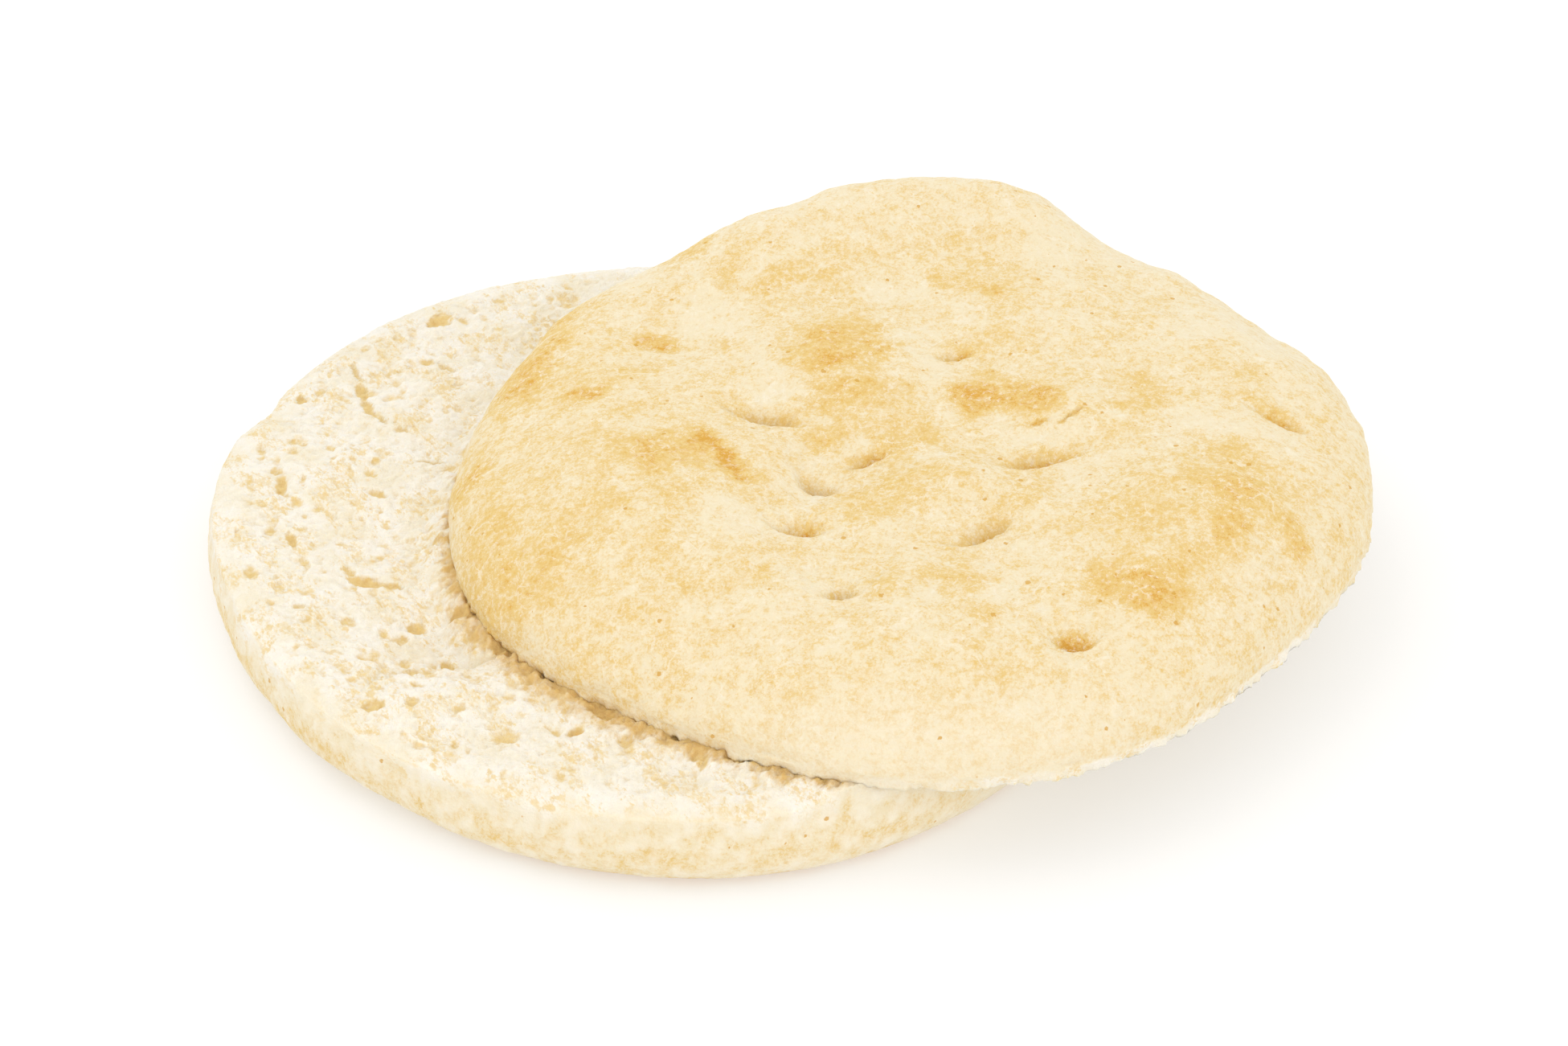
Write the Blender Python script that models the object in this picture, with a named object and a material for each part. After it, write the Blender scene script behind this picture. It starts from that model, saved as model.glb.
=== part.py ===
"""A round focaccia roll cut through the middle into two halves.

The lower half lies flat with its torn crumb face up. The upper half, with the dimpled
crust, has been slid to +X and rests on that crumb face. +Z is up, and the origin is on
the surface that the roll lies on, under the middle of the whole.

The sizes below are in millimetres, and places are measured from the middle of a half.
Bearings are in degrees, from +X towards +Y.
"""

import math
from collections import namedtuple

import bmesh
import bpy

MM = 0.001  # one millimetre in metres

# A stretch of the rim that stands out (or in, if negative), and how wide it is in degrees.
Lobe = namedtuple("Lobe", "bearing out width")

# A raised blister or, if its rise is negative, a sunk part, with its half-width.
Swell = namedtuple("Swell", "x y rise spread")

# A mark pressed into the dough: its depth, its half-widths and the bearing of its long side.
Dimple = namedtuple("Dimple", "x y depth along across heading")

# ---------------------------------------------------------------- the lower half

LOWER_CENTRE = (-16.0, -0.6)
LOWER_RADIUS = 64.0
LOWER_LOBES = (
    Lobe(284, 3.2, 36),
    Lobe(166, 2.6, 18),
    Lobe(188, 0.4, 12),
    Lobe(157, -1.4, 3.5),
    Lobe(128, 2.6, 22),
    Lobe(205, -0.8, 18),
    Lobe(80, 2.0, 28),
)
CUT_EDGE_HEIGHT = 12.8  # of the lower half's cut edge above the table
BELLY_HEIGHT = 5.5  # of the widest part of its side
FOOT_INSET = 4.2  # from the widest part in to the flat base
FOOT_LOBES = (Lobe(222, 4.3, 32), Lobe(231, 2.2, 9))  # where the base lies further in
CUT_EDGE_INSET = 1.5  # from the widest part in to the cut edge
CRUMB_HOLLOW = 1.4  # the torn face sinks this far towards its middle
HOLLOW_FLATNESS = 4  # a higher power keeps more of the hollow flat
EDGE_FLATNESS = 10  # a higher power lets the swells come nearer to the cut edge
CRUMB_SWELLS = (
    Swell(-29, -28, -2.4, 9),
    Swell(-10, -50, 0.9, 12),
    Swell(-50, 12, 0.6, 12),
    Swell(-40, -8, -0.7, 9),
    Swell(8, 34, 1.3, 13),
    Swell(14, -34, 1.2, 13),
    Swell(38, 4, 1.4, 13),
)
LOWER_CELLS = 28  # across the torn face
LOWER_SIDE_RINGS = 7
CRUMB_COLOUR = (0.88, 0.79, 0.60)
CRUMB_ROUGHNESS = 0.9

# ---------------------------------------------------------------- the upper half

UPPER_CENTRE = (17.8, -0.4)
UPPER_RADIUS = 62.5
UPPER_LOBES = (
    Lobe(197, 3.2, 28),
    Lobe(140, 2.0, 16),
    Lobe(98, 4.5, 20),
    Lobe(74, 4.0, 14),
    Lobe(20, 2.0, 18),
    Lobe(321, -3.7, 22),
    Lobe(238, -1.8, 20),
)
REST_GAP = 0.3  # the upper half's cut face clears the highest crumb by this
CROWN_HEIGHT = 13.0  # of the crust above the cut face, before its swells
LIP_HEIGHT = 2.2  # of the widest part of the crust above the cut face
LIP_INSET = 0.2  # from the widest part in to the cut edge
SHOULDER = 24.0  # from the rim in to where the crust reaches its full height
SHOULDER_LOBES = (
    Lobe(90, -11.0, 28),
    Lobe(145, -7.0, 20),
    Lobe(15, -4.0, 20),
)
CRUST_SWELLS = (
    Swell(-34, -14, 2.6, 20),
    Swell(-10, 14, 2.6, 13),
    Swell(-4, 54, 5.4, 14),
    Swell(16, 56, 4.8, 11),
    Swell(16, 28, 2.2, 13),
    Swell(-20, 40, 1.2, 12),
    Swell(42, 20, 0.8, 12),
    Swell(38, -22, 2.6, 17),
    Swell(4, -14, 2.0, 9),
    Swell(22, 4, 2.2, 9),
    Swell(-6, -48, 0.8, 14),
    Swell(-26, 51, 3.4, 11),
    Swell(5, 60, 1.0, 6),
    Swell(30, 56, -1.0, 4.5),
    Swell(38, 42, 1.6, 8),
    Swell(52, 30, -2.2, 6),
    Swell(-34, 26, -1.2, 10),
)
DIMPLES = (
    Dimple(-22.4, 3.1, 3.7, 6, 3.5, -24),
    Dimple(-14.7, -12.5, 5.0, 4, 3.5, -38),
    Dimple(-7.4, -5.9, 2.0, 4, 3, 30),
    Dimple(-17.0, -23.0, 3.2, 5, 3.5, -8),
    Dimple(6.7, -23.9, 3.6, 6, 3.5, 27),
    Dimple(-11.4, -36.9, 3.0, 3.5, 3.5, 4),
    Dimple(18.7, -45.2, 3.0, 4, 3.5, 5),
    Dimple(5.2, 17.7, 1.8, 4, 3, 18),
    Dimple(16.7, -7.1, 3.0, 7, 3.5, 16),
    Dimple(49.6, 4.3, 2.2, 6, 3.5, -28),
    Dimple(-36.4, 21.8, 0.6, 5, 3.5, -8),
)
PIT_SHARE = 0.7  # of a dimple's depth that is its narrow pit, the rest being a wide hollow
HOLLOW_WIDTH = 2.0  # the wide hollow against the pit
UPPER_CELLS = 32  # across the crust
UPPER_SIDE_RINGS = 4
RIM_CROWDING = 8.0  # draws the cells together where the crust turns down
CRUST_COLOUR = (0.84, 0.66, 0.38)
CRUST_ROUGHNESS = 0.75

MERGE_DISTANCE = 0.01  # for joining the crust to the cut face
SHARP_ANGLE = 50  # edges that turn more than this many degrees are shown sharp


def bell(distance):
    """1 at no distance, and nearly nothing past two."""
    return math.exp(-distance * distance)


def bearing_of(x, y):
    return math.degrees(math.atan2(y, x))


def turn_between(bearing, other):
    return abs((bearing - other + 180.0) % 360.0 - 180.0)


def round_rim(bearing, radius, lobes):
    """A radius that the lobes push out and in round the half."""
    return radius + sum(lobe.out * bell(turn_between(bearing, lobe.bearing) / lobe.width) for lobe in lobes)


def swells_at(x, y, swells):
    return sum(swell.rise * bell(math.hypot(x - swell.x, y - swell.y) / swell.spread) for swell in swells)


def dimples_at(x, y, dimples):
    """The depth of the pressed marks at a place: a narrow pit in a wide hollow."""
    depth = 0.0
    for dimple in dimples:
        turned = math.radians(dimple.heading)
        east, north = x - dimple.x, y - dimple.y
        along = (east * math.cos(turned) + north * math.sin(turned)) / dimple.along
        across = (north * math.cos(turned) - east * math.sin(turned)) / dimple.across
        away = math.hypot(along, across)
        pit = PIT_SHARE * bell(away)
        hollow = (1.0 - PIT_SHARE) * bell(away / HOLLOW_WIDTH)
        depth += dimple.depth * (pit + hollow)
    return depth


def round_sheet(cells):
    """A mesh of nearly even square cells that fills a circle of radius 1."""
    sheet = bmesh.new()
    bmesh.ops.create_grid(sheet, x_segments=cells, y_segments=cells, size=1.0)
    for vert in sheet.verts:
        x, y = vert.co.x, vert.co.y
        vert.co.x = x * math.sqrt(1.0 - y * y / 2.0)
        vert.co.y = y * math.sqrt(1.0 - x * x / 2.0)
    return sheet


def crowd_to_rim(share):
    return share + share * (1.0 - share**RIM_CROWDING) / RIM_CROWDING


def spread_sheet(sheet, radius_at, height_at, crowded=False):
    """Spreads a round sheet out to a half's rim, and lifts it to height_at(x, y, share)."""
    for vert in sheet.verts:
        bearing = bearing_of(vert.co.x, vert.co.y)
        share = min(math.hypot(vert.co.x, vert.co.y), 1.0)
        if crowded:
            share = crowd_to_rim(share)
        reach = share * radius_at(bearing)
        x = reach * math.cos(math.radians(bearing))
        y = reach * math.sin(math.radians(bearing))
        vert.co = (x, y, height_at(x, y, share))


def wrap_side(sheet, rings, profile_at):
    """Extrudes the rim down in rings. profile_at(bearing, share) gives a ring's radius and height."""
    edges = [edge for edge in sheet.edges if edge.is_boundary]
    for ring in range(1, rings + 1):
        made = bmesh.ops.extrude_edge_only(sheet, edges=edges)["geom"]
        edges = [item for item in made if isinstance(item, bmesh.types.BMEdge) and item.is_boundary]
        for vert in (item for item in made if isinstance(item, bmesh.types.BMVert)):
            bearing = bearing_of(vert.co.x, vert.co.y)
            reach, height = profile_at(bearing, ring / rings)
            turned = math.radians(bearing)
            vert.co = (reach * math.cos(turned), reach * math.sin(turned), height)
    return edges


def finish_solid(name, sheet, centre, colour, roughness):
    """Turns a closed sheet in millimetres into the named solid, placed in metres."""
    bmesh.ops.recalc_face_normals(sheet, faces=sheet.faces)
    bmesh.ops.scale(sheet, vec=(MM, MM, MM), verts=sheet.verts)
    mesh = bpy.data.meshes.new(name)
    sheet.to_mesh(mesh)
    sheet.free()
    mesh.shade_smooth()
    mesh.set_sharp_from_angle(angle=math.radians(SHARP_ANGLE))
    material = bpy.data.materials.new(name)
    material.use_nodes = True
    surface = material.node_tree.nodes["Principled BSDF"]
    surface.inputs["Base Color"].default_value = (*colour, 1.0)
    surface.inputs["Roughness"].default_value = roughness
    surface.inputs["Metallic"].default_value = 0.0
    mesh.materials.append(material)
    solid = bpy.data.objects.new(name, mesh)
    solid.location = (centre[0] * MM, centre[1] * MM, 0.0)
    bpy.context.scene.collection.objects.link(solid)


def make_lower_half():
    """A flat base, a rounded side and a hollowed crumb face. Returns the height of its highest crumb."""

    def radius_at(bearing):
        return round_rim(bearing, LOWER_RADIUS, LOWER_LOBES)

    def crumb_height(x, y, share):
        hollow = CRUMB_HOLLOW * (1.0 - share**HOLLOW_FLATNESS)
        swell = swells_at(x, y, CRUMB_SWELLS) * (1.0 - share**EDGE_FLATNESS)
        return CUT_EDGE_HEIGHT - hollow + swell

    def side_profile(bearing, share):
        height = CUT_EDGE_HEIGHT * (1.0 - share)
        if height > BELLY_HEIGHT:
            lean = (height - BELLY_HEIGHT) / (CUT_EDGE_HEIGHT - BELLY_HEIGHT)
            inset = CUT_EDGE_INSET * lean**2
        else:
            drop = 1.0 - height / BELLY_HEIGHT
            inset = round_rim(bearing, FOOT_INSET, FOOT_LOBES) * (1.0 - math.sqrt(1.0 - drop * drop))
        return radius_at(bearing) - inset, height

    sheet = round_sheet(LOWER_CELLS)
    spread_sheet(sheet, lambda bearing: radius_at(bearing) - CUT_EDGE_INSET, crumb_height)
    highest_crumb = max(vert.co.z for vert in sheet.verts)
    foot = wrap_side(sheet, LOWER_SIDE_RINGS, side_profile)
    bmesh.ops.contextual_create(sheet, geom=foot)
    finish_solid("lower_half", sheet, LOWER_CENTRE, CRUMB_COLOUR, CRUMB_ROUGHNESS)
    return highest_crumb


def make_upper_half(cut_height):
    """A domed and dimpled crust over a flat cut face, which lies cut_height above the table."""

    def radius_at(bearing):
        return round_rim(bearing, UPPER_RADIUS, UPPER_LOBES)

    def crust_height(x, y, share):
        bearing = bearing_of(x, y)
        from_rim = (1.0 - share) * radius_at(bearing)
        shoulder = round_rim(bearing, SHOULDER, SHOULDER_LOBES)
        turn_down = max(0.0, 1.0 - from_rim / shoulder)
        relief = swells_at(x, y, CRUST_SWELLS) - dimples_at(x, y, DIMPLES)
        full_height = CROWN_HEIGHT - LIP_HEIGHT + relief
        return cut_height + LIP_HEIGHT + full_height * math.sqrt(1.0 - turn_down**2)

    def lip_profile(bearing, share):
        return radius_at(bearing) - LIP_INSET * share**2, cut_height + LIP_HEIGHT * (1.0 - share)

    crust = round_sheet(UPPER_CELLS)
    spread_sheet(crust, radius_at, crust_height, crowded=True)
    wrap_side(crust, UPPER_SIDE_RINGS, lip_profile)
    cut_face = round_sheet(UPPER_CELLS)
    spread_sheet(cut_face, lambda bearing: radius_at(bearing) - LIP_INSET, lambda x, y, share: cut_height)
    cut_mesh = bpy.data.meshes.new("cut_face")
    cut_face.to_mesh(cut_mesh)
    cut_face.free()
    crust.from_mesh(cut_mesh)
    bpy.data.meshes.remove(cut_mesh)
    bmesh.ops.remove_doubles(crust, verts=crust.verts, dist=MERGE_DISTANCE)
    finish_solid("upper_half", crust, UPPER_CENTRE, CRUST_COLOUR, CRUST_ROUGHNESS)


for old in list(bpy.data.objects):
    bpy.data.objects.remove(old)
make_upper_half(make_lower_half() + REST_GAP)
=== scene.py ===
"""The looks of a round focaccia roll: the torn lower half and the dimpled upper half that rests on it.

The bread is worked in millimetres, measured from the middle of each half, and put in place in metres.
Bearings and headings are in degrees, from +X towards +Y.
"""

import math
from collections import namedtuple

import bmesh
import bpy
import numpy as np
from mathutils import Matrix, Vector, kdtree, noise


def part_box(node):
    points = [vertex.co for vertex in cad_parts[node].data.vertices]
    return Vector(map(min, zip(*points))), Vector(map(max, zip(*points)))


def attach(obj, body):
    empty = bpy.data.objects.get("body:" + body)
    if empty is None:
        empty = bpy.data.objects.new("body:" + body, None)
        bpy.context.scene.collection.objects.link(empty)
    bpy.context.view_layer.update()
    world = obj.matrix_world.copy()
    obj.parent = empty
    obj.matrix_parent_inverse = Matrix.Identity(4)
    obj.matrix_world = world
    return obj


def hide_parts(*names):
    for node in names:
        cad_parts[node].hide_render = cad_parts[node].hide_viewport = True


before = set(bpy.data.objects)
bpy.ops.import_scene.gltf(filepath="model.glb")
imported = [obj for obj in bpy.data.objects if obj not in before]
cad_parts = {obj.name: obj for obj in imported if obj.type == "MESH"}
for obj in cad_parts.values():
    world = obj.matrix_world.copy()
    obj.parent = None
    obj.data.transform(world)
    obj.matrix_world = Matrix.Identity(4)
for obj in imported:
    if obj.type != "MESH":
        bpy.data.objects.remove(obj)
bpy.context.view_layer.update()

# ---------------------------------------------------------------- the view
# A long lens looks down at the roll from the front, high enough to see the lower half's crumb
# past the upper half's rim.

VIEW_HEIGHT = 36.0  # degrees above the table
VIEW_DISTANCE = 0.608
VIEW_AIM = Vector((-0.001, 0.0, 0.010))
LENS_LENGTH = 100.0  # in millimetres, as is the sensor
SENSOR_WIDTH = 36.0

camera = bpy.data.objects.new("camera", bpy.data.cameras.new("camera"))
camera.data.lens = LENS_LENGTH
camera.data.sensor_width = SENSOR_WIDTH
rise = math.radians(VIEW_HEIGHT)
camera.location = VIEW_AIM + VIEW_DISTANCE * Vector((0.0, -math.cos(rise), math.sin(rise)))
camera.rotation_euler = (math.pi / 2 - rise, 0.0, 0.0)
bpy.context.scene.collection.objects.link(camera)
bpy.context.scene.camera = camera
bpy.context.scene.view_settings.view_transform = "Standard"

# ---------------------------------------------------------------- the light and the table
# A white tent of light all round, with a broad lamp high up at the left and a weaker one in front.
# The table is a sheet of white plastic lit from below, so that the roll throws hardly any shadow.

TENT_STRENGTH = 1.08
LEFT_LAMP = (Vector((-0.6, 0.15, 1.2)), 2.6)  # its place and its watts
FRONT_LAMP = (Vector((0.3, -1.1, 0.6)), 3.3)
LAMP_SIZE = 0.9
TABLE_SIZE = 6.0
TABLE_WHITE = 0.51
TABLE_GLOW = (0.445, 0.435, 0.415)

world = bpy.data.worlds.new("light tent")
world.use_nodes = True
world.node_tree.nodes["Background"].inputs["Color"].default_value = (1.0, 1.0, 1.0, 1.0)
world.node_tree.nodes["Background"].inputs["Strength"].default_value = TENT_STRENGTH
bpy.context.scene.world = world

for name, (place, power) in (("left lamp", LEFT_LAMP), ("front lamp", FRONT_LAMP)):
    lamp = bpy.data.objects.new(name, bpy.data.lights.new(name, "AREA"))
    lamp.data.energy = power
    lamp.data.size = LAMP_SIZE
    lamp.location = place
    lamp.rotation_euler = (-place).to_track_quat("-Z", "Y").to_euler()
    bpy.context.scene.collection.objects.link(lamp)

table_mesh = bmesh.new()
bmesh.ops.create_grid(table_mesh, x_segments=1, y_segments=1, size=TABLE_SIZE / 2)
table = bpy.data.objects.new("table", bpy.data.meshes.new("table"))
table_mesh.to_mesh(table.data)
table_mesh.free()
bpy.context.scene.collection.objects.link(table)
table_paint = bpy.data.materials.new("lit white plastic")
table_paint.use_nodes = True
surface = table_paint.node_tree.nodes["Principled BSDF"]
surface.inputs["Base Color"].default_value = (TABLE_WHITE, TABLE_WHITE, TABLE_WHITE, 1.0)
surface.inputs["Roughness"].default_value = 0.9
surface.inputs["Specular IOR Level"].default_value = 0.1
surface.inputs["Emission Color"].default_value = (*TABLE_GLOW, 1.0)
surface.inputs["Emission Strength"].default_value = 1.0
table.data.materials.append(table_paint)

# ---------------------------------------------------------------- the lower half's shape
# A disc of dough baked on a flat tray: a pale, floury base and side, and a soft white crumb
# face where the roll was torn through. It lies on the table and carries the upper half.

MM = 0.001
Lobe = namedtuple("Lobe", "bearing out width")
Swell = namedtuple("Swell", "x y rise spread")
Pit = namedtuple("Pit", "x y depth along across heading")

LOWER_CENTRE = (-16.0, -0.6)
LOWER_RADIUS = 64.0
LOWER_LOBES = (
    Lobe(284, 3.2, 36),
    Lobe(166, 2.6, 18),
    Lobe(188, 0.4, 12),
    Lobe(157, -1.4, 3.5),
    Lobe(128, 2.6, 22),
    Lobe(205, -0.8, 18),
    Lobe(80, 2.0, 28),
)
CUT_EDGE_HEIGHT = 12.8
BELLY_HEIGHT = 5.5
FOOT_INSET = 4.2
FOOT_LOBES = (Lobe(222, 4.3, 32), Lobe(231, 2.2, 9))
CUT_EDGE_INSET = 1.5
CRUMB_HOLLOW = 1.4
CRUMB_SWELLS = (
    Swell(-29, -28, -2.4, 9),
    Swell(-10, -50, 0.9, 12),
    Swell(-50, 12, 0.6, 12),
    Swell(-40, -8, -0.7, 9),
    Swell(8, 34, 1.3, 13),
    Swell(14, -34, 1.2, 13),
    Swell(38, 4, 1.4, 13),
)
EDGE_DROP = 1.3  # the face rounds down by this much towards its edge
EDGE_WIDTH = 4.0
LEDGE_RISE = 1.7  # the front of the face was torn a little higher
LEDGE_START = (-43.0, -40.0)
LEDGE_HEADING = 18.0
LEDGE_WIDTH = 0.5
LEDGE_WANDER = 0.9
LEDGE_REACH = 15.0  # the higher strip ends this far in front of the ledge
LEDGE_FADE = 11.0
LEDGE_RUN_UP = 7.0  # it comes up over this length from its start
TORN_PITS = (
    Pit(-35.9, 48.4, 1.6, 2.4, 1.6, 50),
    Pit(-47.3, 34.6, 1.3, 2.2, 0.5, 110),
    Pit(-46.2, 30.0, 1.6, 2.6, 0.8, 100),
    Pit(-45.0, 26.2, 1.6, 2.2, 0.9, 115),
    Pit(-43.0, 23.4, 1.3, 2.0, 0.6, 130),
    Pit(-54.7, 27.6, 1.8, 1.3, 0.9, 90),
    Pit(-55.6, 6.8, 1.6, 2.6, 0.9, 95),
    Pit(-56.6, 10.0, 1.2, 1.2, 0.8, 60),
    Pit(-53.0, -6.0, 1.3, 2.2, 0.7, 110),
    Pit(-56.2, -4.0, 1.2, 1.3, 0.9, 60),
    Pit(-42.0, 5.0, 1.3, 1.8, 0.8, 165),
    Pit(-34.6, 37.0, 1.1, 2.4, 0.5, 145),
    Pit(-32.2, 32.6, 1.0, 1.2, 0.6, 10),
    Pit(-39.7, 20.6, 1.2, 1.2, 0.8, 170),
    Pit(-35.0, 13.0, 1.2, 2.6, 0.5, 165),
    Pit(-42.2, -14.8, 2.0, 2.6, 1.5, 165),
    Pit(-38.6, -15.6, 1.7, 2.2, 0.7, 160),
    Pit(-44.6, -12.4, 1.2, 1.4, 0.7, 120),
    Pit(-58.0, -14.0, 1.2, 1.8, 0.8, 95),
    Pit(-34.6, -24.0, 1.6, 1.5, 1.2, 20),
    Pit(-36.5, -27.0, 1.3, 1.3, 1.0, 60),
    Pit(-44.0, -24.4, 1.2, 1.1, 0.8, 20),
    Pit(-50.6, -21.4, 1.2, 1.0, 0.8, 20),
    Pit(-34.6, -34.4, 1.3, 1.5, 0.9, 40),
    Pit(-38.8, -44.0, 1.4, 1.8, 1.0, 165),
    Pit(-33.6, -44.2, 1.2, 1.2, 0.9, 20),
    Pit(-27.6, -44.8, 1.2, 1.3, 0.8, 30),
    Pit(-21.0, -49.8, 1.3, 2.2, 1.8, 10),
    Pit(-32.4, -51.6, 1.0, 1.6, 0.8, 165),
    Pit(-26.5, -24.6, 1.8, 1.7, 1.2, 130),
    Pit(-30.0, -32.0, 1.8, 1.3, 1.0, 100),
    Pit(-29.0, -24.0, 1.7, 1.3, 1.0, 10),
    Pit(-12.0, -49.4, 1.5, 1.3, 1.0, 20),
    Pit(-8.4, -46.2, 2.0, 1.8, 1.3, 150),
    Pit(-5.6, -51.4, 1.4, 1.3, 1.0, 60),
    Pit(4.0, -54.8, 1.5, 1.4, 0.9, 10),
    # torn holes that run in under the upper half
    Pit(-26.3, -22.6, 1.6, 2.4, 1.4, -40),
    Pit(-22.3, -32.0, 1.6, 2.6, 1.5, -40),
    Pit(-16.0, -38.6, 1.3, 1.6, 1.0, -30),
    Pit(-9.0, -45.0, 1.6, 2.2, 1.3, -30),
    Pit(0.9, -51.0, 1.3, 1.8, 1.1, -20),
    Pit(9.5, -55.4, 1.6, 2.2, 1.3, -15),
    Pit(17.6, -57.4, 1.2, 2.0, 0.9, -10),
    Pit(23.8, -59.0, 1.2, 1.6, 0.9, -5),
)
LUMP_RISE = 0.45  # soft lumps of crumb
LUMP_SIZE = 7.0
CREASE_DEPTH = 0.43  # the creases between the smaller lumps
CREASE_SIZE = 2.6
CREASE_LIFT = 0.19  # brings the creased face back up to its mean height
GRANULE_RISE = 0.24
GRANULE_SIZE = 1.0
CALM_EDGE = (0.93, 0.99)  # the crumb calms down by half between these shares of the radius
TEAR_HEADING = 120.0  # the tear drew the crumb and its bubbles out along this heading
BUBBLES = 4600  # gas bubbles that the tear opened
BUBBLE_SIZES = (0.4, 1.2)
BUBBLE_SPREAD = 90.0  # the bubbles' own headings differ by up to this angle
BUBBLE_MARGIN = 2.0  # a rim this wide has no bubbles
LOWER_SEED = 7
BUBBLE_DUG = 0.22  # the share of a bubble's depth by which the face is lowered
PIT_DUG = 0.45
TOUCH_WIDTH = 5.0  # next to the upper half the face climbs to the cut over this distance
TOUCH_LIFT = 0.35  # and ends this far above it
UNDER_CUT = 0.1  # the clearance that the face keeps below the cut
WAVE_RISE = 0.30  # broad waves and fine wrinkles in the skin of the side
WAVE_SIZE = 12.0
WRINKLE_RISE = 0.16
WRINKLE_SIZE = 2.2
PALE_SKIN = -0.35  # the browning of skin that has hardly any
GOLDEN_BAND = (0.55, 0.28)  # the golden band's middle and half width, as stages of the side
GOLDEN_SIDE = (215.0, 40.0)  # the side is most golden at this bearing, and this far round it
BAND_BROWNING = 0.8
CRUMB_OVER = 0.9  # the crumb reaches this far down over the side
TORN_FRONT = (-75.0, 38.0)  # at this bearing, and this far round it, the skin reaches further in
FRONT_SKIN = 1.6
SKIN_EDGE_WANDER = 2.6
SHADE_WIDTH = 1.9  # the crumb is painted with the upper half's shade this far out from its rim
NOOK = (-138.0, 26.0)  # and NOOK_WIDTH further at this bearing, and this far round it
NOOK_WIDTH = 4.2
FOOT_LINE = (0.86, 0.95)  # the brown line at the foot, partly a browned base edge and partly painted contact shade, starts and is full at these stages
FOOT_BROWNING_AND_SHADE = 2.6
LOWER_CELLS = 120
FINE_CUTS = 2  # extra cuts in each cell of the crumb that shows
SHOWN_MARGIN = 5.0  # the fine cells reach this far under the upper half
SIDE_RINGS = 18
FOOT_RINGS = 3
BASE_RUN = 0.8  # the rings under the base run in by this share of the radius

UPPER_CENTRE = (17.8, -0.4)
UPPER_RADIUS = 62.5
UPPER_LOBES = (
    Lobe(197, 3.2, 28),
    Lobe(140, 2.0, 16),
    Lobe(98, 4.5, 20),
    Lobe(74, 4.0, 14),
    Lobe(20, 2.0, 18),
    Lobe(321, -3.7, 22),
    Lobe(238, -1.8, 20),
)
CUT_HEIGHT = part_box("upper_half")[0].z / MM


def bell(distance):
    """1 at no distance, and nearly nothing past two."""
    return np.exp(-distance * distance)


def smooth(value, low, high):
    """0 below low, 1 above high, and a soft climb between."""
    share = np.clip((value - low) / (high - low), 0.0, 1.0)
    return share * share * (3.0 - 2.0 * share)


def turn_from(bearing, middle):
    """The angle from the middle bearing, from -180 to 180."""
    return (bearing - middle + 180.0) % 360.0 - 180.0


def round_rim(bearing, radius, lobes):
    """A radius that the lobes push out and in round the half."""
    return radius + sum(lobe.out * bell(turn_from(bearing, lobe.bearing) / lobe.width) for lobe in lobes)


def swells_at(x, y, swells):
    """How far the swells together raise each place."""
    return sum(swell.rise * bell(np.hypot(x - swell.x, y - swell.y) / swell.spread) for swell in swells)


def turned(x, y, heading):
    """The place measured along the heading and square to it."""
    cos, sin = math.cos(math.radians(heading)), math.sin(math.radians(heading))
    return x * cos + y * sin, y * cos - x * sin


def noise_at(x, y, z, size, octaves=1):
    """Smooth noise from about -1 to 1, with lumps about size across. Each octave adds finer lumps.

    Where the noise lies flat, z only picks another pattern.
    """
    points = (np.stack(np.broadcast_arrays(x, y, z), 1) / size).tolist()
    if octaves == 1:
        return np.array([noise.noise(point) for point in points])
    return np.array([noise.fractal(point, 1.0, 2.0, octaves) for point in points])


def billows_at(x, y, z, size, octaves):
    """Rounded lumps with sharp creases between them, from 0 to about 1."""
    points = (np.stack(np.broadcast_arrays(x, y, z), 1) / size).tolist()
    return np.array([noise.turbulence(point, octaves, True) for point in points])


PIT_WANDER = 0.35  # how ragged the pits' outlines are


def dig(x, y, pits):
    """How deep the pits reach at each place. Each is a hollow with steep sides and a round bottom."""
    bent_x = x + PIT_WANDER * noise_at(x, y, 1.0, 1.1, 2)
    bent_y = y + PIT_WANDER * noise_at(x, y, 9.0, 1.1, 2)
    tree = kdtree.KDTree(len(x))
    for number, place in enumerate(zip(bent_x.tolist(), bent_y.tolist())):
        tree.insert((*place, 0.0), number)
    tree.balance()
    depth = np.zeros(len(x))
    for pit in pits:
        near = [number for _, number, _ in tree.find_range((pit.x, pit.y, 0.0), max(pit.along, pit.across))]
        along, across = turned(bent_x[near] - pit.x, bent_y[near] - pit.y, pit.heading)
        away = np.hypot(along / pit.along, across / pit.across)
        depth[near] = np.maximum(depth[near], pit.depth * np.sqrt(np.clip(1.0 - away**2, 0.0, 1.0)))
    return depth


def scatter_bubbles(count, sizes, reach, seed):
    """Gas bubbles at random places in a round of dough, most of them small and drawn out by the tear."""
    chance = np.random.default_rng(seed).random((count, 6))
    bubbles = []
    for out, turn, size, slim, heading, deep in chance.tolist():
        radius = sizes[0] + (sizes[1] - sizes[0]) * size**3.0
        away = reach * math.sqrt(out)
        place = (away * math.cos(math.tau * turn), away * math.sin(math.tau * turn))
        depth = radius * (0.5 + 0.6 * deep)
        width = radius * (0.4 + 0.5 * slim)
        turned_to = TEAR_HEADING - BUBBLE_SPREAD / 2 + BUBBLE_SPREAD * heading
        bubbles.append(Pit(*place, depth, 1.15 * radius, width, turned_to))
    return bubbles


def round_the_square(vert):
    """Moves a point of the unit square onto the unit circle's disc."""
    x, y = vert.co.x, vert.co.y
    vert.co.x = x * math.sqrt(1.0 - y * y / 2.0)
    vert.co.y = y * math.sqrt(1.0 - x * x / 2.0)


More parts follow.
